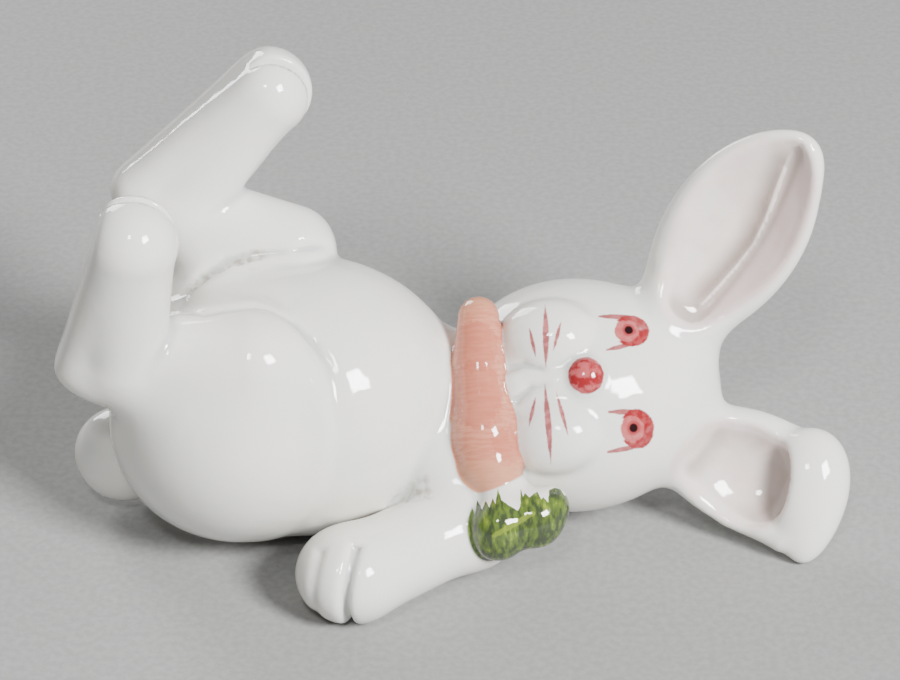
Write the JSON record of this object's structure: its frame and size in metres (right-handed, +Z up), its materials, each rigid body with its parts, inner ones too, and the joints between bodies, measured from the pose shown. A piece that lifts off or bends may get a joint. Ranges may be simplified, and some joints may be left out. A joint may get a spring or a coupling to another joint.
{
  "type": "rabbit figurine",
  "caption": "Glazed white ceramic rabbit lying on its back with its hind feet up, one ear folded, and a carrot with green leaves under its chin.",
  "frame": {"origin": "under the middle of the figure's box, on the surface that it lies on", "axes": "+X along the body towards the head and ears, +Y to the rabbit's far side, +Z up"},
  "size_m": [0.2141, 0.122, 0.1295],
  "materials": {
    "white_glaze": "clear gloss glaze over white, with hand-painted carrot, leaves and face"
  },
  "bodies": {
    "root": {"rabbit": "white_glaze"}
  },
  "joints": []
}
